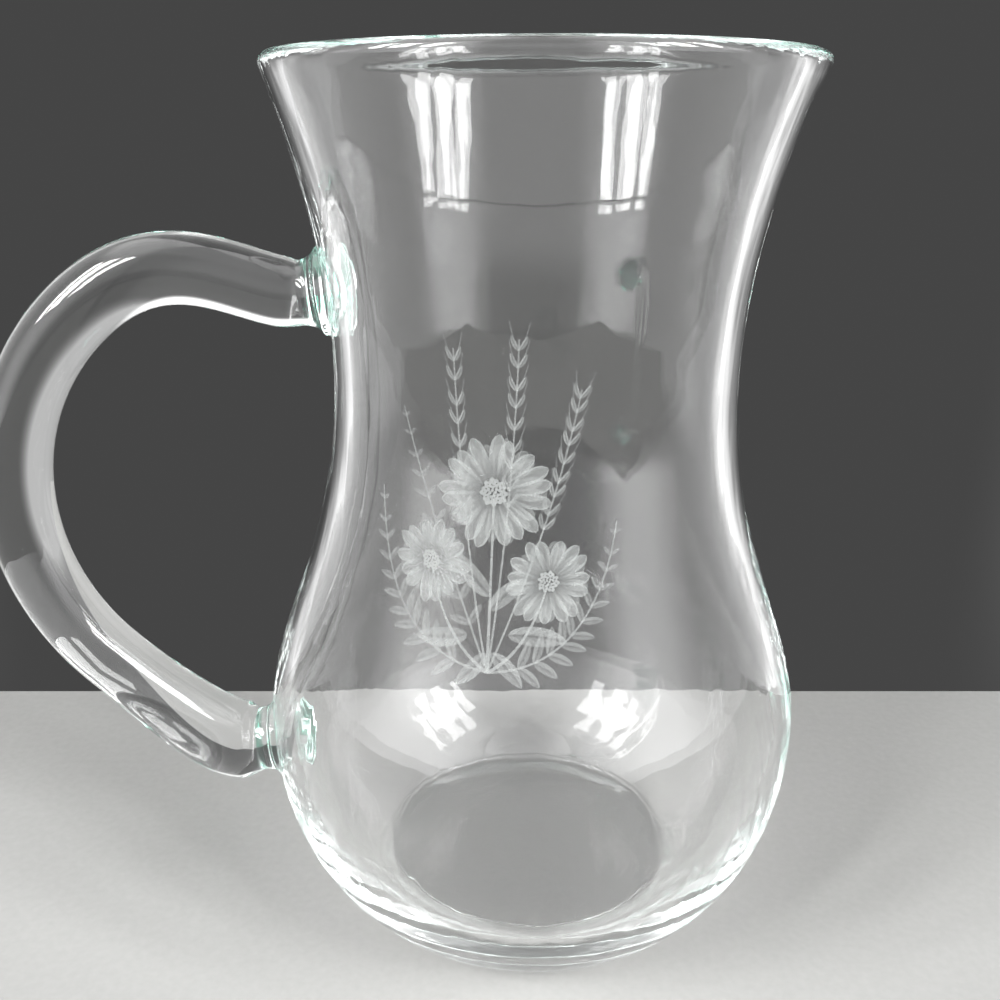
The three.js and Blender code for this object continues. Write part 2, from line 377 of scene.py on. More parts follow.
def clear_glass(name, wave_height, streak_height):
    """Fire-polished glass, with waves and streaks of those heights in metres."""
    material, sheet = new_finish(name)
    place = sheet.node("ShaderNodeTexCoord", output="Object")
    waves = sheet.node(
        "ShaderNodeTexNoise", None, {"Vector": place, "Scale": WAVE_SCALE, "Detail": 1.0})
    drawn = sheet.node("ShaderNodeMapping", None, {"Vector": place, "Scale": STREAK_STRETCH})
    streaks = sheet.node(
        "ShaderNodeTexNoise", None, {"Vector": drawn, "Scale": STREAK_SCALE, "Detail": 1.5})
    wavy = sheet.node(
        "ShaderNodeBump", None, {"Strength": 1.0, "Distance": wave_height, "Height": waves})
    streaky = sheet.node(
        "ShaderNodeBump", None,
        {"Strength": 1.0, "Distance": streak_height, "Height": streaks, "Normal": wavy})
    smears = sheet.node(
        "ShaderNodeTexNoise", None,
        {"Vector": place, "Scale": SMEAR_SCALE, "Detail": 6.0, "Roughness": 0.7})
    dust = sheet.node(
        "ShaderNodeTexNoise", None, {"Vector": place, "Scale": DUST_SCALE, "Detail": 2.0})
    wiped = sheet.between(*SMEAR_RANGE, smears) * SMEAR_ROUGHNESS
    dusty = sheet.between(*DUST_RANGE, dust) * DUST_ROUGHNESS
    surface = sheet.node(
        "ShaderNodeBsdfPrincipled", None,
        {"Base Color": (1.0, 1.0, 1.0, 1.0), "IOR": GLASS_INDEX, "Transmission Weight": 1.0,
         "Roughness": POLISHED_ROUGHNESS + wiped + dusty, "Normal": streaky})
    sheet.node(
        "ShaderNodeOutputMaterial", None,
        {"Surface": surface, "Volume": add_glass_volume(sheet)})
    return material


body_glass = clear_glass("body_glass", wave_height=0.00016, streak_height=0.00006)
rod_glass = clear_glass("rod_glass", wave_height=0.00006, streak_height=0.00001)
print("glass finishes:", body_glass.name, rod_glass.name)

# %% [markdown]
# ## Where the glass is fused
# The pads are pressed on to hot glass and melt into it, so there is no surface inside the joint. The
# pieces stay separate meshes here, a hair apart. Their mating faces get a see-through finish with the
# same tint inside, and light then crosses the joint as it does in one lump of glass.

# %% Fused faces
def fused_glass(name):
    material, sheet = new_finish(name)
    surface = sheet.node("ShaderNodeBsdfPrincipled", None, {"Alpha": 0.0, "Specular IOR Level": 0.0})
    sheet.node(
        "ShaderNodeOutputMaterial", None,
        {"Surface": surface, "Volume": add_glass_volume(sheet)})
    return material


fused_joint = fused_glass("fused_joint")
FREE, FUSED = 0, 1
print("fused finish:", fused_joint.name)

# %% [markdown]
# ## The joints on the wall
# Each pad sits on a small plane that touches the wall, square to its slope. Points drawn on that plane
# are pushed along its normal until they meet the wall, so the pad's foot and the wall's fused circle
# have the same outline.

# %% Joint planes
class Joint:
    """The plane that touches the wall where the handle is pressed on, at the -X side."""

    def __init__(self, height, neck_radius):
        row = int(np.searchsorted(outer_fine[:, 1], height))
        slope = outer_fine[row + 1] - outer_fine[row - 1]
        slope = slope / np.linalg.norm(slope)
        self.neck_radius = neck_radius
        self.flat_place = np.array([float(outer_radius(height)), height])
        self.flat_facing = np.array([slope[1], -slope[0]])
        self.centre = np.array([-self.flat_place[0], 0.0, height])
        self.across = np.array([0.0, -1.0, 0.0])
        self.upward = np.array([-slope[0], 0.0, slope[1]])
        self.facing = np.array([-slope[1], 0.0, -slope[0]])

    def on_plane(self, points):
        offset = np.asarray(points) - self.centre
        return np.stack([offset @ self.across, offset @ self.upward], axis=1)

    def lift(self, spots, height):
        """Points over the plane, at a height in millimetres along its normal."""
        flat = self.centre + spots[:, :1] * self.across + spots[:, 1:] * self.upward
        return flat + np.broadcast_to(height, (len(spots),))[:, None] * self.facing

    def wall_height(self, spots, reach=8.0, halvings=40):
        """How far over the plane the wall lies at each spot, found by halving."""
        low = np.full(len(spots), -reach)
        high = np.full(len(spots), reach)
        for _ in range(halvings):
            middle = (low + high) / 2
            points = self.lift(spots, middle)
            outside = np.hypot(points[:, 0], points[:, 1]) > outer_radius(points[:, 2])
            high = np.where(outside, middle, high)
            low = np.where(outside, low, middle)
        return (low + high) / 2


upper_joint = Joint(UPPER_JOINT_HEIGHT, UPPER_NECK_RADIUS)
lower_joint = Joint(LOWER_JOINT_HEIGHT, LOWER_NECK_RADIUS)
print("joints face", np.round(upper_joint.facing, 3), np.round(lower_joint.facing, 3))

# %% [markdown]
# ## The bowl
# One line runs from the middle of the base, up the outside, over the round rim, down the inside and
# back to the middle of the floor. Turned about the axis it gives a closed skin. A fine bead runs round
# the floor's edge and shows as a ring through the glass. The blown inside is a little uneven, which a
# plain turned form lacks, so slow ripples are added there.

# %% Bowl: rings
AROUND_BOWL = 224
OUTER_STEPS = (44, 62, 46)
INNER_STEPS = (36, 52, 40)
RIM_STEPS = 14
BEAD_WIDTH = 1.6
BEAD_HEIGHT = 0.62
BEAD_STEPS = 14
FLOOR_RINGS = (34.0, 24.0, 12.0)
BASE_RINGS = (12.0, 24.0, 34.0, 40.0)
TURN_STEPS = 5
TURN_CLEARANCE = 1.2
# depth, count round the bowl, climb and start of each wave
RIPPLES = ((0.05, 4, 0.030, 0.4), (0.03, 9, -0.045, 1.9), (0.014, 17, 0.06, 0.8))
RIPPLE_MARGIN = 12.0
RIPPLE_FADE_LOW = 20.0
RIPPLE_FADE_HIGH = 30.0

bowl_angles = 2 * math.pi * np.arange(AROUND_BOWL) / AROUND_BOWL


def ripple(angle, height):
    """The small unevenness of the blown inside, in millimetres."""
    under_rim = np.clip((HEIGHT - RIPPLE_MARGIN - height) / RIPPLE_FADE_HIGH, 0, 1)
    over_floor = np.clip((height - RIPPLE_MARGIN) / RIPPLE_FADE_LOW, 0, 1)
    waves = [depth * np.sin(count * angle + climb * height + start)
             for depth, count, climb, start in RIPPLES]
    return under_rim * over_floor * sum(waves)


def bowl_ring(radius, height, inside=False):
    pushed = radius + lip_push(bowl_angles, height)
    if inside:
        pushed = pushed + ripple(bowl_angles, height)
    level = np.full(AROUND_BOWL, height)
    return np.stack([pushed * np.cos(bowl_angles), pushed * np.sin(bowl_angles), level], axis=1)


def outside_line():
    """Base, rounded base edge and outer wall, up to the rim."""
    wall = wall_line(OUTER_FOOT, BELLY_RADIUS, WAIST_RADIUS, OUTER_MOUTH, OUTER_STEPS)
    wall = wall[np.linalg.norm(wall - OUTER_FOOT, axis=1) > BASE_ROUND * TURN_CLEARANCE]
    under = OUTER_FOOT - np.array([BASE_ROUND, 0.0])
    turn = bezier([under, OUTER_FOOT, OUTER_FOOT + BASE_DIRECTION * BASE_ROUND], TURN_STEPS)
    flat = np.array([(radius, 0.0) for radius in BASE_RINGS])
    return np.vstack([flat, turn, wall])


def inside_line():
    """Rounded rim, and then inner wall, bead and floor, from the rim down."""
    sweep = np.linspace(-RIM_FLARE, math.pi - RIM_FLARE, RIM_STEPS + 1)[1:-1]
    rim = RIM_CENTRE + WALL / 2 * np.stack([np.cos(sweep), np.sin(sweep)], axis=1)
    wall = wall_line(INNER_FOOT, BELLY_RADIUS - WALL, WAIST_RADIUS - WALL, INNER_MOUTH, INNER_STEPS)
    share = np.linspace(0, 1, BEAD_STEPS + 1)
    bead_radius = FLOOR_RADIUS - BEAD_WIDTH * share
    bead_level = BASE_THICKNESS + BEAD_HEIGHT * np.sin(math.pi * share) ** 2
    bead = np.stack([bead_radius, bead_level], axis=1)
    flat = np.array([(radius, BASE_THICKNESS) for radius in FLOOR_RINGS])
    return rim, np.vstack([wall[::-1], bead, flat])


print("bowl rings outside:", len(outside_line()), "and inside:", len(inside_line()[1]))

# %% [markdown]
# ## Windows for the pads
# Where a pad is pressed on, the wall needs a round fused spot. Cutting a circle out of the finished
# mesh would leave thin slivers that show in glass. So a window of cells is left out round each joint
# and filled by rings that run from the window's edge to the pad's circle and on to its middle.

# %% Bowl: windows and skin
WINDOW_REACH = 17.5
PATCH_RINGS = 6
FUSED_RINGS = (0.35, 0.7)


def fill_window(skin, joint, rings, rows, columns):
    """The patch between a window of the bowl's cells and the pad's fused circle."""
    (low, high), (left, right) = rows, columns
    edge = [rings[low][i] for i in range(left, right)]
    edge += [rings[j][right] for j in range(low, high)]
    edge += [rings[high][i] for i in range(right, left, -1)]
    edge += [rings[j][left] for j in range(high, low, -1)]
    spots = joint.on_plane([skin.points[i] for i in edge])
    circle = PAD_RADIUS * spots / np.linalg.norm(spots, axis=1)[:, None]
    previous = edge
    for share in np.linspace(0, 1, PATCH_RINGS + 1)[1:]:
        between = spots * (1 - share) + circle * share
        following = skin.ring(joint.lift(between, joint.wall_height(between)))
        skin.band(previous, following, FREE)
        previous = following
    for share in reversed(FUSED_RINGS):
        inner = circle * share
        following = skin.ring(joint.lift(inner, joint.wall_height(inner)))
        skin.band(previous, following, FUSED)
        previous = following
    skin.end_disc(previous, skin.ring([joint.centre])[0], FUSED)
    joint.circle = circle


def make_bowl():
    skin = Skin()
    outside = outside_line()
    rim, inside = inside_line()
    base_centre = skin.ring([(0.0, 0.0, 0.0)])[0]
    rings = [skin.ring(bowl_ring(radius, height)) for radius, height in outside]
    rings += [skin.ring(bowl_ring(radius, height)) for radius, height in rim]
    rings += [skin.ring(bowl_ring(radius, height, inside=True)) for radius, height in inside]
    floor_centre = skin.ring([(0.0, 0.0, BASE_THICKNESS)])[0]
    windows = []
    for joint in (upper_joint, lower_joint):
        heights = np.where(outside[:, 0] > BASE_RADIUS, outside[:, 1], -HEIGHT)
        low = int(np.argmin(np.abs(heights - joint.centre[2] + WINDOW_REACH)))
        high = int(np.argmin(np.abs(heights - joint.centre[2] - WINDOW_REACH)))
        half = round(WINDOW_REACH / joint.flat_place[0] / (2 * math.pi / AROUND_BOWL))
        windows.append((joint, (low, high), (AROUND_BOWL // 2 - half, AROUND_BOWL // 2 + half)))
    skin.start_disc(base_centre, rings[0])
    for j, (lower, upper) in enumerate(zip(rings, rings[1:])):
        skip = [i for _, (low, high), (left, right) in windows if low <= j < high
                for i in range(left, right)]
        skin.band(lower, upper, FREE, set(skip))
    skin.end_disc(rings[-1], floor_centre)
    for joint, rows, columns in windows:
        fill_window(skin, joint, rings, rows, columns)
    return mesh_piece("glass_bowl", skin, [body_glass, fused_joint])


bowl = make_bowl()

# %% [markdown]
# ## The pads
# Where the hot rod was pressed on, the glass spread into a disc with a soft edge that runs up into
# the rod in a hollow curve. Rings are laid from the wall outwards: the foot follows the wall, the edge
# is a quarter circle, and the hollow is a Bezier curve that ends along the rod.

# %% Pads
PAD_SIDE_RINGS = (0.5, 1.0)
PAD_ROUND_STEPS = 5
HOLLOW_STEPS = 12


def make_pad(name, joint):
    skin = Skin()
    foot = joint.wall_height(joint.circle) + FUSED_GAP
    unit = joint.circle / PAD_RADIUS
    centre_low = skin.ring(joint.lift(np.zeros((1, 2)), FUSED_GAP))[0]
    rings = []
    for share in FUSED_RINGS:
        spots = joint.circle * share
        rings.append(skin.ring(joint.lift(spots, joint.wall_height(spots) + FUSED_GAP)))
    foot_ring = skin.ring(joint.lift(joint.circle, foot))
    skin.start_disc(centre_low, rings[0], FUSED)
    skin.stack([*rings, foot_ring], FUSED)
    side = [foot_ring]
    shoulder = PAD_EDGE - PAD_ROUND
    for share in PAD_SIDE_RINGS:
        side.append(skin.ring(joint.lift(joint.circle, foot * (1 - share) + shoulder * share)))
    for turn in np.linspace(0, math.pi / 2, PAD_ROUND_STEPS + 1)[1:]:
        radius = PAD_RADIUS - PAD_ROUND + PAD_ROUND * math.cos(turn)
        side.append(skin.ring(joint.lift(unit * radius, shoulder + PAD_ROUND * math.sin(turn))))
    edge = np.array([PAD_RADIUS - PAD_ROUND, PAD_EDGE])
    neck = np.array([joint.neck_radius, PAD_THICKNESS])
    bend = edge + (neck - edge) * np.array([PAD_HOLLOW, 1 - PAD_HOLLOW])
    hollow = bezier([edge, bend, neck], HOLLOW_STEPS)[1:]
    side += [skin.ring(joint.lift(unit * radius, height)) for radius, height in hollow]
    skin.stack(side, FREE)
    top = skin.ring(joint.lift(np.zeros((1, 2)), PAD_THICKNESS))[0]
    skin.end_disc(side[-1], top, FUSED)
    return mesh_piece(name, skin, [rod_glass, fused_joint])


upper_pad = make_pad("glass_upper_pad", upper_joint)
lower_pad = make_pad("glass_lower_pad", lower_joint)

# %% [markdown]
# ## The rod
# The handle is one rod of solid glass, drawn thinner at the upper end and left thick at the heel. Its
# line leaves each pad squarely, and a part of a circle joins the two ends. A curve object with a
# bevel could do it, but rings of points keep the ends flat and exactly on the pads.

# %% Rod
AROUND_ROD = 72
ROD_STEPS = (34, 60, 34)


def rod_line():
    """The middle of the rod in (outward, height), from the upper pad to the lower one."""
    stand_off = PAD_THICKNESS + FUSED_GAP
    start = upper_joint.flat_place + upper_joint.flat_facing * stand_off
    end = lower_joint.flat_place + lower_joint.flat_facing * stand_off
    middle_height = (UPPER_JOINT_HEIGHT + LOWER_JOINT_HEIGHT) / 2
    bow_centre = np.array([HANDLE_REACH - BOW_RADIUS, middle_height + BOW_LIFT])
    sweep = np.linspace(BOW_TOP_ANGLE, BOW_BOTTOM_ANGLE, ROD_STEPS[1] + 1)
    bow = bow_centre + BOW_RADIUS * np.stack([np.cos(sweep), np.sin(sweep)], axis=1)
    down_top = np.array([math.sin(BOW_TOP_ANGLE), -math.cos(BOW_TOP_ANGLE)])
    down_bottom = np.array([math.sin(BOW_BOTTOM_ANGLE), -math.cos(BOW_BOTTOM_ANGLE)])
    upper = bezier(
        [start, start + upper_joint.flat_facing * UPPER_RUN, bow[0] - down_top * UPPER_SWEEP, bow[0]],
        ROD_STEPS[0])
    lower = bezier(
        [bow[-1], bow[-1] + down_bottom * LOWER_SWEEP, end + lower_joint.flat_facing * LOWER_RUN, end],
        ROD_STEPS[2])
    return np.vstack([upper[:-1], bow[:-1], lower])


def rod_radius(distance, length):
    """The rod's radius along its line: eased from station to station."""
    grip_start = UPPER_NECK_LENGTH + SHOULDER_LENGTH
    heel = length - LOWER_NECK_LENGTH
    places = [0, UPPER_NECK_LENGTH, grip_start, heel - HEEL_LENGTH, heel, length]
    radii = [UPPER_NECK_RADIUS, SHOULDER_RADIUS, GRIP_RADIUS, GRIP_RADIUS, HEEL_RADIUS,
             LOWER_NECK_RADIUS]
    before = int(np.clip(np.searchsorted(places, distance, side="right") - 1, 0, len(places) - 2))
    share = (distance - places[before]) / (places[before + 1] - places[before])
    eased = share * share * (3 - 2 * share)
    return radii[before] * (1 - eased) + radii[before + 1] * eased


def make_rod():
    skin = Skin()
    flat = rod_line()
    line = np.stack([-flat[:, 0], np.zeros(len(flat)), flat[:, 1]], axis=1)
    steps = np.linalg.norm(np.diff(line, axis=0), axis=1)
    distances = np.concatenate([[0.0], np.cumsum(steps)])
    tangents = np.gradient(line, distances, axis=0)
    tangents[0], tangents[-1] = upper_joint.facing, -lower_joint.facing
    turns = 2 * math.pi * np.arange(AROUND_ROD) / AROUND_ROD
    sideways = np.array([0.0, 1.0, 0.0])
    rings = []
    for place, tangent, distance in zip(line, tangents, distances):
        upright = np.cross(tangent / np.linalg.norm(tangent), sideways)
        spokes = np.cos(turns)[:, None] * sideways + np.sin(turns)[:, None] * upright
        rings.append(skin.ring(place + rod_radius(distance, distances[-1]) * spokes))
    skin.start_disc(skin.ring([line[0]])[0], rings[0], FUSED)
    skin.stack(rings, FREE)
    skin.end_disc(rings[-1], skin.ring([line[-1]])[0], FUSED)
    print("rod length", round(float(distances[-1]), 1), "mm")
    return mesh_piece("glass_handle", skin, [rod_glass, fused_joint])


rod = make_rod()

# %% [markdown]
# ## Frosted finish
# An etched picture is the same glass with its polish taken off, so it scatters light and looks soft
# white. A thin skin over the wall carries it. How dense the frost is at a point is stored in the mesh
# as it is drawn, and drives the skin's opacity with a fine grain.

# %% Frosted finish
GRAIN_SCALE = 2600.0
PATCH_SCALE = 240.0
FROST_EVEN = 0.34
FROST_UNEVEN = 0.24
FROST_DARK = (0.54, 0.57, 0.56, 1.0)
FROST_LIGHT = (0.66, 0.68, 0.67, 1.0)
FROST_ROUGHNESS = 0.62
GRAIN_ROUGHNESS = 0.2


def frosted_etching(name):
    material, sheet = new_finish(name)
    place = sheet.node("ShaderNodeTexCoord", output="Object")
    grain = sheet.node(
        "ShaderNodeTexNoise", None, {"Vector": place, "Scale": GRAIN_SCALE, "Detail": 2.0})
    patches = sheet.node(
        "ShaderNodeTexNoise", None, {"Vector": place, "Scale": PATCH_SCALE, "Detail": 3.0})
    frost = sheet.node("ShaderNodeAttribute", {"attribute_name": "frost"}, output="Fac")
    density = frost * (FROST_EVEN + FROST_UNEVEN * grain + FROST_UNEVEN * patches)
    tone = sheet.mixed(FROST_DARK, FROST_LIGHT, patches)
    surface = sheet.node(
        "ShaderNodeBsdfPrincipled", None,
        {"Base Color": tone, "Roughness": FROST_ROUGHNESS + GRAIN_ROUGHNESS * grain,
         "Specular IOR Level": 0.3, "Alpha": density})
    sheet.node("ShaderNodeOutputMaterial", None, {"Surface": surface})
    return material


etched_frost = frosted_etching("etched_frost")
print("frost finish:", etched_frost.name)

# %% [markdown]
# ## The etched spray
# The front carries a garden spray of daisies, leaves, fern and grass. It is drawn flat, in millimetres
# from the middle of the spray, and then wrapped on to the wall. Everything in it is a blade: a strip
# along a bent spine with a width that changes, whether it is a petal, a leaf, a grain or a stem.

# %% Spray: wrapping and blades
SPRAY_ANGLE = math.radians(-12.5)
SPRAY_HEIGHT = 131.0
ETCH_LIFT = 0.04


class Spray:
    """Blades drawn flat as (right, up, frost), to be wrapped on the front of the bowl."""

    def __init__(self):
        self.skin = Skin()
        self.frost = []

    def wrap(self, flat):
        heights = SPRAY_HEIGHT + flat[:, 1]
        radii = outer_radius(heights) + ETCH_LIFT
        angles = -math.pi / 2 + SPRAY_ANGLE + flat[:, 0] / radii
        return np.stack([radii * np.cos(angles), radii * np.sin(angles), heights], axis=1)

    def blade(self, spine, width, frost, columns):
        """A strip along a spine.

        width is a function of the share along it, and frost is one of that share and of across.
        """
        along = np.linspace(0, 1, len(spine))
        forward = np.gradient(spine, axis=0)
        forward = forward / np.linalg.norm(forward, axis=1)[:, None]
        left = np.stack([-forward[:, 1], forward[:, 0]], axis=1)
        rows = []
        for share, place, side in zip(along, spine, left):
            across = np.linspace(-1, 1, columns + 1)
            flat = place + np.outer(across * width(share), side)
            rows.append(self.skin.ring(self.wrap(flat)))
            self.frost += [frost(share, c) for c in across]
        for lower, upper in zip(rows, rows[1:]):
            for i in range(columns):
                self.skin.face((lower[i + 1], lower[i], upper[i], upper[i + 1]), 0)


def arc(start, bend, end, steps):
    return bezier([start, bend, end], steps)


def spot(angle, radius, centre):
    return np.array(centre) + radius * np.array([math.cos(angle), math.sin(angle)])


print("spray middle at height", SPRAY_HEIGHT, "mm")

# %% [markdown]
# ## Stems and leaves
# An engraver gives a leaf an outline that swells and narrows, a clear rib with slanting veins, and one
# side in shade. A picture wrapped on the wall could do it, but drawn blades stay sharp from close by.

# %% Spray: stems and leaves
STEM_TAPER = 0.35
LEAF_MIDDLE = 0.55
LEAF_FOOT_POWER = 0.55
LEAF_TIP_POWER = 0.75
RIB_DEPTH = 0.75
RIB_WIDTH = 0.16
VEIN_PAIRS = 7
VEIN_SLANT = 1.6
VEIN_DEPTH = 0.18
SHADY_SIDE = 0.74


def draw_stem(spray, spine, width, frost=0.62):
    spray.blade(
        spine, lambda share: width * (1 - STEM_TAPER * share), lambda share, across: frost, 2)


def draw_leaf(spray, base, angle, length, width, bend, frost):
    """A pointed leaf with a clear midrib and slanting side veins."""
    tip = spot(angle, length, base)
    middle = spot(angle + bend, length * LEAF_MIDDLE, base)

    def outline(share):
        return 2.0 * width * share ** LEAF_FOOT_POWER * (1 - share) ** LEAF_TIP_POWER

    def tone(share, across):
        rib = 1 - RIB_DEPTH * math.exp(-(across / RIB_WIDTH) ** 2)
        wave = math.cos(2 * math.pi * (VEIN_PAIRS * share - VEIN_SLANT * abs(across)))
        veins = 1 - VEIN_DEPTH + VEIN_DEPTH * wave
        shade = 1.0 if across > 0 else SHADY_SIDE
        return frost * rib * veins * shade

    spray.blade(arc(base, middle, tip, 26), outline, tone, 12)


print("a leaf has", VEIN_PAIRS, "pairs of veins")

# %% [markdown]
# ## Daisies
# A daisy is a ring of narrow petals over a second, shorter ring, round a domed middle of dots. The dots
# turn by the golden angle from one to the next, which is how the florets of a real daisy lie.

# %% Spray: petals
PETAL_FOOT = 0.34
PETAL_FULL = 0.86
PETAL_SWELL = 1.25
TIP_START = 0.78
TIP_POWER = 2.4
TIP_CUT = 0.86
HEART_FROST = 0.62
EDGE_POWER = 1.6
CREASE_PLACE = 0.36
CREASE_WIDTH = 0.1
CREASE_DEPTH = 0.35
ROOT_FROST = 0.35
ROOT_RISE = 1.7


def petal_width(share):
    """A petal's width along it: a narrow foot, a full middle and a blunt tip."""
    swell = math.sin(math.pi * min(share, PETAL_FULL) / PETAL_SWELL)
    past_start = max(0.0, (share - TIP_START) / (1 - TIP_START))
    return (PETAL_FOOT + (1 - PETAL_FOOT) * swell) * (1 - TIP_CUT * past_start ** TIP_POWER)


def petal_tone(share, across):
    """A petal's frost: dense at the edges, with two creases and a root in shade."""
    edge = HEART_FROST + (1 - HEART_FROST) * abs(across) ** EDGE_POWER
    crease = 1 - CREASE_DEPTH * math.exp(-((abs(across) - CREASE_PLACE) / CREASE_WIDTH) ** 2)
    root = ROOT_FROST + (1 - ROOT_FROST) * min(1.0, share * ROOT_RISE)
    return edge * crease * root


print("a petal's width at its foot and tip:", petal_width(0.0), round(petal_width(1.0), 3))

# %% Spray: daisies
# reach, frost, turn and width of each ring of petals, the back ring first
PETAL_RINGS = ((0.9, 0.66, 0.5, 0.6), (1.0, 1.0, 0.0, 0.72))
PETAL_SWAY = 0.10
PETAL_UNEVEN = 0.05
EYE_SHARE = 0.26
EYE_FILL = 0.9
DOT_SIZE = 0.13
DOT_MARGIN = 0.01
DOT_FROST = 0.78
GOLDEN_ANGLE = math.pi * (3 - math.sqrt(5))


def draw_dot(spray, place, angle, size):
    """A round blade: its width follows a circle."""
    start, end = spot(angle, size, place), spot(angle + math.pi, size, place)
    spray.blade(
        arc(start, place, end, 6),
        lambda share: size * math.sqrt(max(0.0, 1 - (2 * share - 1) ** 2)) + DOT_MARGIN,
        lambda share, across: DOT_FROST, 4)


def draw_daisy(spray, centre, radius, petals, turn, frost=0.72):
    eye = radius * EYE_SHARE
    for layer, (reach, dim, shift, fill) in enumerate(PETAL_RINGS):
        half = math.pi * radius / petals * fill
        for i in range(petals):
            angle = turn + 2 * math.pi * (i + shift) / petals
            sway = PETAL_SWAY * math.sin(2.4 * i + layer)
            tip_reach = radius * reach * (1 - PETAL_UNEVEN * math.cos(1.7 * i + 2 * layer))
            root = spot(angle, eye * 0.92, centre)
            middle = spot(angle + 0.3 * sway, (eye + tip_reach) / 2, centre)
            tip = spot(angle + sway, tip_reach, centre)
            spray.blade(
                arc(root, middle, tip, 12), lambda share: half * petal_width(share),
                lambda share, across: frost * dim * petal_tone(share, across), 8)
    dots = int(18 + radius * 2)
    for k in range(dots):
        angle = k * GOLDEN_ANGLE
        reach = eye * EYE_FILL * math.sqrt((k + 0.5) / dots)
        draw_dot(spray, spot(angle, reach, centre), angle, DOT_SIZE * (0.8 * eye + 0.5 * reach))


print("a daisy has", len(PETAL_RINGS), "rings of petals")

# %% [markdown]
# ## Fern and grass
# Both are a bent stem with small leaves in pairs. On the fern they run almost from the foot and get
# shorter towards the tip. On the grass they are grains on the upper half, each with a fine beard.

# %% Spray: fern and grass
FERN_STEM_WIDTH = 0.26
LEAFLET_ANGLE = 0.95
LEAFLET_WIDTH = 0.2
LEAFLET_BEND = 0.15
GRASS_STEM_WIDTH = 0.24
GRAIN_ANGLE = 0.5
GRAIN_LENGTH = 3.6
GRAIN_WIDTH = 0.62
GRAIN_BEND = 0.2
BEARD_ANGLE = 0.34
BEARD_BEND_AT = 3.4
BEARD_LENGTH = 6.4
BEARD_WIDTH = 0.09


def station(spine, share, rows_back):
    """The place at a share along a spine, and the angle that the spine has there."""
    row = int(share * (len(spine) - 1))
    heading = spine[min(row + 1, len(spine) - 1)] - spine[row - rows_back]
    return spine[row], math.atan2(heading[1], heading[0])


def draw_fern(spray, spine, leaflets, length, frost):
    draw_stem(spray, spine, FERN_STEM_WIDTH, frost)
    for share in 0.16 + 0.8 * np.arange(leaflets) / (leaflets - 1):
        place, angle = station(spine, share, 1)
        size = length * (1 - 0.72 * share) * (0.75 + 0.25 * math.sin(math.pi * share))
        for side in (-1, 1):
            draw_leaf(spray, place, angle + side * LEAFLET_ANGLE, size, size * LEAFLET_WIDTH,
                      -side * LEAFLET_BEND, frost)


def draw_grass(spray, spine, grains, frost=0.66):
    draw_stem(spray, spine, GRASS_STEM_WIDTH, frost * 0.85)
    for share in 0.5 + 0.48 * np.arange(grains) / (grains - 1):
        place, angle = station(spine, share, 2)
        for side in (-1, 1):
            grain_angle = angle + side * GRAIN_ANGLE
            draw_leaf(spray, place, grain_angle, GRAIN_LENGTH, GRAIN_WIDTH, side * GRAIN_BEND, frost)
            bend = spot(grain_angle, BEARD_BEND_AT, place)
            tip = spot(angle + side * BEARD_ANGLE, BEARD_LENGTH, place)
            draw_stem(spray, arc(place, bend, tip, 5), BEARD_WIDTH, frost * 0.7)


print("a grain is", GRAIN_LENGTH, "mm long")

# %% [markdown]
# ## The arrangement
# The stems meet low down, as in a hand-tied bunch. Grass stands highest, ferns spread to the sides and
# three daisies fill the middle, with leaves round their stems. Places are in millimetres to the right
# and up, from the middle of the spray.

# %% Spray: the whole arrangement
TIE = (1.0, -33.0)
SPINE_STEPS = 60
GRAINS = 9
# bend and tip of each grass stalk
STALKS = (((-7.0, -6.0), (-8.5, 36.0)), ((4.0, 2.0), (5.5, 38.5)), ((13.0, -2.0), (18.5, 28.0)))
# bend, tip, leaflets, length of the longest and frost of each fern
FERNS = (
    ((-26.0, -30.0), (-27.5, 3.0), 11, 8.6, 0.55),
    ((25.0, -31.0), (27.5, -1.0), 11, 8.2, 0.55),
    ((-15.0, 0.0), (-21.0, 22.0), 10, 6.6, 0.48),
)
# centre, radius, petals and turn of each daisy
BLOOMS = (
    ((0.5, 5.5), 12.2, 17, 0.1),
    ((13.0, -13.5), 9.4, 15, 0.5),
    ((-13.5, -11.0), 9.0, 14, 0.9),
)
BLOOM_STEM_WIDTH = 0.36
# base, angle, length and width of each leaf
LEAVES = (
    ((0.6, -17.0), 2.3, 11.5, 2.4),
    ((0.8, -20.0), 0.75, 10.5, 2.2),
    ((5.0, -25.0), -0.1, 13.0, 2.5),
    ((-4.0, -25.5), 3.3, 12.5, 2.5),
    ((1.5, -29.0), -0.75, 10.0, 2.0),
    ((0.5, -29.0), 3.95, 10.0, 2.0),
)
LEAF_BEND = 0.16
LEAF_FROST = 0.66


def make_spray():
    spray = Spray()
    for bend, tip in STALKS:
        draw_grass(spray, arc(TIE, bend, tip, SPINE_STEPS), GRAINS)
    for bend, tip, leaflets, length, frost in FERNS:
        draw_fern(spray, arc(TIE, bend, tip, SPINE_STEPS), leaflets, length, frost)
    for centre, *_ in BLOOMS:
        bend = (centre[0] * 0.75, (centre[1] + TIE[1]) / 2 - 5.0)
        draw_stem(spray, arc(TIE, bend, centre, 40), BLOOM_STEM_WIDTH)
    for leaf in LEAVES:
        draw_leaf(spray, *leaf, LEAF_BEND, LEAF_FROST)
    for bloom in BLOOMS:
        draw_daisy(spray, *bloom)
    piece = mesh_piece("etched_spray", spray.skin, [etched_frost])
    frost = piece.data.attributes.new("frost", "FLOAT", "POINT")
    frost.data.foreach_set("value", np.array(spray.frost, np.float32))
    return piece


etched_spray = make_spray()

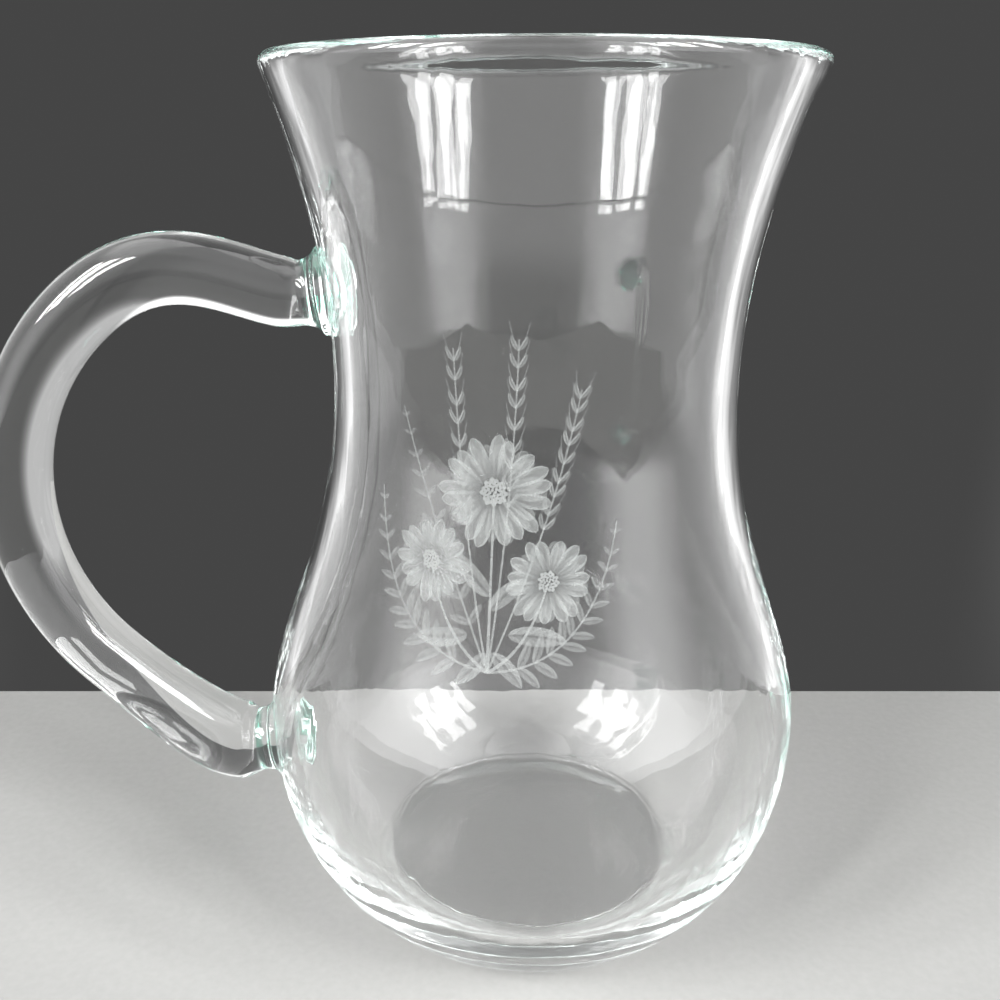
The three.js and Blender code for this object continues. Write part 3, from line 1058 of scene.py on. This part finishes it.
# %% [markdown]
# ## What each piece stands for
# The four glass pieces stand for the four CAD solids and take their place in the picture. The etched
# skin has no solid of its own: it is a finish of the bowl. Nothing moves, so all ride on the root.

# %% Ride and replace
for piece, node, slot in (
    (bowl, "body", "body_glass"),
    (rod, "handle", "handle_glass"),
    (upper_pad, "upper_handle_pad", "pad_glass"),
    (lower_pad, "lower_handle_pad", "pad_glass"),
):
    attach(piece, "root")
    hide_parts(node)
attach(etched_spray, "root")

# %% [markdown]
# ## The table
# A pale matt table top carries the pitcher. Its back edge lies close behind, as in the photograph, so
# that the upper part of the glass is seen against a darker room, which is where its edges shine.

# %% Table
TABLE_HALF_WIDTH = 0.62
TABLE_FRONT = -0.62
TABLE_BACK = 0.1
TABLE_THICKNESS = 0.02
TABLE_DROP = 0.0003
TABLE_BEVEL = 0.004
TABLE_BEVEL_STEPS = 4
TABLE_GRAIN_SCALE = 420.0
TABLE_DARK = (0.40, 0.40, 0.39, 1.0)
TABLE_LIGHT = (0.46, 0.46, 0.45, 1.0)


def pale_table(name):
    material, sheet = new_finish(name)
    place = sheet.node("ShaderNodeTexCoord", output="Object")
    grain = sheet.node(
        "ShaderNodeTexNoise", None, {"Vector": place, "Scale": TABLE_GRAIN_SCALE, "Detail": 4.0})
    tone = sheet.mixed(TABLE_DARK, TABLE_LIGHT, grain)
    surface = sheet.node(
        "ShaderNodeBsdfPrincipled", None,
        {"Base Color": tone, "Roughness": 0.9, "Specular IOR Level": 0.0})
    sheet.node("ShaderNodeOutputMaterial", None, {"Surface": surface})
    return material


def make_table():
    build = bmesh.new()
    bmesh.ops.create_cube(build, size=1.0)
    size = Vector((2 * TABLE_HALF_WIDTH, TABLE_BACK - TABLE_FRONT, TABLE_THICKNESS))
    middle = Vector((0, (TABLE_BACK + TABLE_FRONT) / 2, -TABLE_DROP - TABLE_THICKNESS / 2))
    for corner in build.verts:
        corner.co = corner.co * size + middle
    bmesh.ops.bevel(
        build, geom=build.edges[:], offset=TABLE_BEVEL, segments=TABLE_BEVEL_STEPS, affect="EDGES")
    mesh = bpy.data.meshes.new("table_top")
    build.to_mesh(mesh)
    build.free()
    mesh.materials.append(pale_table("pale_table"))
    table = bpy.data.objects.new("table_top", mesh)
    bpy.context.scene.collection.objects.link(table)


make_table()
print("table back edge at", TABLE_BACK, "m")

# %% [markdown]
# ## Light
# Two softboxes stand in front, high at the left and the right, like two windows. Each leaves a bright
# patch in the glass. Round them the room is pale, which gives the soft bands along both sides of the
# wall, and behind the pitcher it is dark.

# %% Softboxes
WINDOW_DISTANCE = 2.6
WINDOW_GLOW = 84.0
PANE_HEIGHT = 1.25
PANES = ((-0.56, 0.23), (-0.13, 0.36), (0.41, 0.27))
WINDOW_SIDES = (("right", 57), ("left", -55))
WINDOW_ELEVATION = 31
AIM = Vector((0.0, 0.0, 0.12))


def softbox(name, azimuth, elevation, offset, width):
    """One upright pane of a softbox, at an azimuth from the front in degrees to the right."""
    turn, lift = math.radians(azimuth), math.radians(elevation)
    away = Vector((math.sin(turn) * math.cos(lift), -math.cos(turn) * math.cos(lift), math.sin(lift)))
    sideways = Vector((math.cos(turn), math.sin(turn), 0.0))
    data = bpy.data.lights.new(name, "AREA")
    data.shape = "RECTANGLE"
    data.size, data.size_y = width, PANE_HEIGHT
    data.energy = WINDOW_GLOW * width * PANE_HEIGHT
    lamp = bpy.data.objects.new(name, data)
    lamp.location = AIM + away * WINDOW_DISTANCE + sideways * offset
    lamp.rotation_euler = (-away).to_track_quat("-Z", "Y").to_euler()
    lamp.visible_camera = False
    bpy.context.scene.collection.objects.link(lamp)


for side, azimuth in WINDOW_SIDES:
    for number, (offset, width) in enumerate(PANES):
        softbox(f"{side}_softbox_{number}", azimuth, WINDOW_ELEVATION, offset, width)
print("softbox panes:", 2 * len(PANES), "at", WINDOW_DISTANCE, "m")

# %% [markdown]
# ## The room
# Glass shows the room around it. A picture of a room would do, but a few zones by heading and height
# are easier to steer: dark behind, pale at the sides, bright in front with a dim gap between the two
# windows, and dim below the table's level. Each edge is a pair of degrees, from where a zone begins to
# where it is full. Headings count from straight behind the pitcher, heights from the horizon.

# %% Room: headings and heights
BEHIND_EDGE = (52, 26)
BACK_HALF_EDGE = (88, 62)
FRONT_EDGE = (125, 95)
GAP_EDGE = (158, 132)
TABLE_EDGE = (-30, -18)
SILL_EDGE = (-13, -10)
SHADE_EDGE = (-4, 12)
HIGH_EDGE = (26, 38)
CEILING_EDGE = (42, 54)

world = bpy.data.worlds.new("room")
bpy.context.scene.world = world
world.use_nodes = True
room = ShaderSheet(world.node_tree)
toward = room.node("ShaderNodeTexCoord", output="Generated")
climb = room.node("ShaderNodeSeparateXYZ", None, {0: toward}).out("Z")
flattened = room.node(
    "ShaderNodeVectorMath", {"operation": "MULTIPLY"}, {0: toward, 1: (1.0, 1.0, 0.0)})
heading = room.node("ShaderNodeVectorMath", {"operation": "NORMALIZE"}, {0: flattened})
backward = room.node("ShaderNodeSeparateXYZ", None, {0: heading}).out("Y")


def near_back(edge):
    """1 straight behind the pitcher, 0 past the edge's first heading."""
    outer, inner = np.cos(np.radians(edge))
    return room.between(float(outer), float(inner), backward)


def above(edge):
    """0 below the edge's first height, 1 over its second one."""
    low, high = np.sin(np.radians(edge))
    return room.between(float(low), float(high), climb)


not_behind = 1 - near_back(BEHIND_EDGE)
in_front = 1 - near_back(FRONT_EDGE)
in_gap = 1 - near_back(GAP_EDGE)
high_behind = above(HIGH_EDGE) * (1 - not_behind)
high_up = above(HIGH_EDGE) * near_back(BACK_HALF_EDGE)
ceiling = above(CEILING_EDGE) * not_behind
print("room zones ready")

# %% [markdown]
# ## How bright the room is
# Looking straight through the glass, one sees the same plain room as beside it. Only light that was
# mirrored sees the bright windows and the ceiling: without that split the whole bowl turns white when
# it is seen from another side. A high pale zone behind draws the white band under the handle's upper
# arm. Matt surfaces get one even fill instead, so that the table and the frost keep their colours.

# %% Room: brightness
ROOM_BACK = 0.075
ROOM_LOW = 0.3
ROOM_SIDE = 1.55
ROOM_FRONT = 4.6
SHADE_LOW = 0.85
SHADE_HIGH = 0.62
ROOM_PALE = 0.6
ROOM_TOP = 2.0
ROOM_CEILING = 5.0
CEILING_SHADE = 0.5
ROOM_BACK_TOP = 0.22
ROOM_FILL = 0.2


def blend(start, end, share):
    return start + (end - start) * share


shade = blend(SHADE_LOW, SHADE_HIGH, above(SHADE_EDGE))
window_glow = ROOM_FRONT * (1 - shade * in_gap)
front_glow = blend(ROOM_LOW, window_glow, above(SILL_EDGE))
wall_glow = blend(ROOM_SIDE, front_glow, in_front)
low_glow = blend(ROOM_LOW, wall_glow, above(TABLE_EDGE))
around_glow = blend(ROOM_BACK, low_glow, not_behind)
level_glow = around_glow.sum("MINIMUM", around_glow, ROOM_PALE)
plain_glow = blend(level_glow, ROOM_TOP, high_up)
ceiling_glow = ROOM_CEILING * (1 - CEILING_SHADE * in_gap)
mirror_glow = blend(blend(around_glow, ceiling_glow, ceiling), ROOM_BACK_TOP, high_behind)
path = room.node("ShaderNodeLightPath")
mirrored = path.sum("MINIMUM", path.out("Glossy Depth"), 1.0)
in_glass = path.sum("MAXIMUM", path.out("Is Glossy Ray"), path.out("Is Transmission Ray"))
seen = path.sum("MAXIMUM", path.out("Is Camera Ray"), in_glass)
strength = blend(ROOM_FILL, blend(plain_glow, mirror_glow, mirrored), seen)
background = room.node("ShaderNodeBackground", None, {"Strength": strength})
room.node("ShaderNodeOutputWorld", None, {"Surface": background})
print("room fill", ROOM_FILL)

# %% [markdown]
# ## Bounce limits
# The wall carries light from the rim to the base as a pipe does, thrown back from face to face dozens
# of times. With the usual limit such paths end black and the rim gets a dark edge, so the limit is
# raised.

# %% Finish
LIGHT_BOUNCES = 128
CLEAR_FACES = 32

bpy.context.scene.cycles.max_bounces = LIGHT_BOUNCES
bpy.context.scene.cycles.transmission_bounces = LIGHT_BOUNCES
bpy.context.scene.cycles.glossy_bounces = LIGHT_BOUNCES
bpy.context.scene.cycles.transparent_max_bounces = CLEAR_FACES
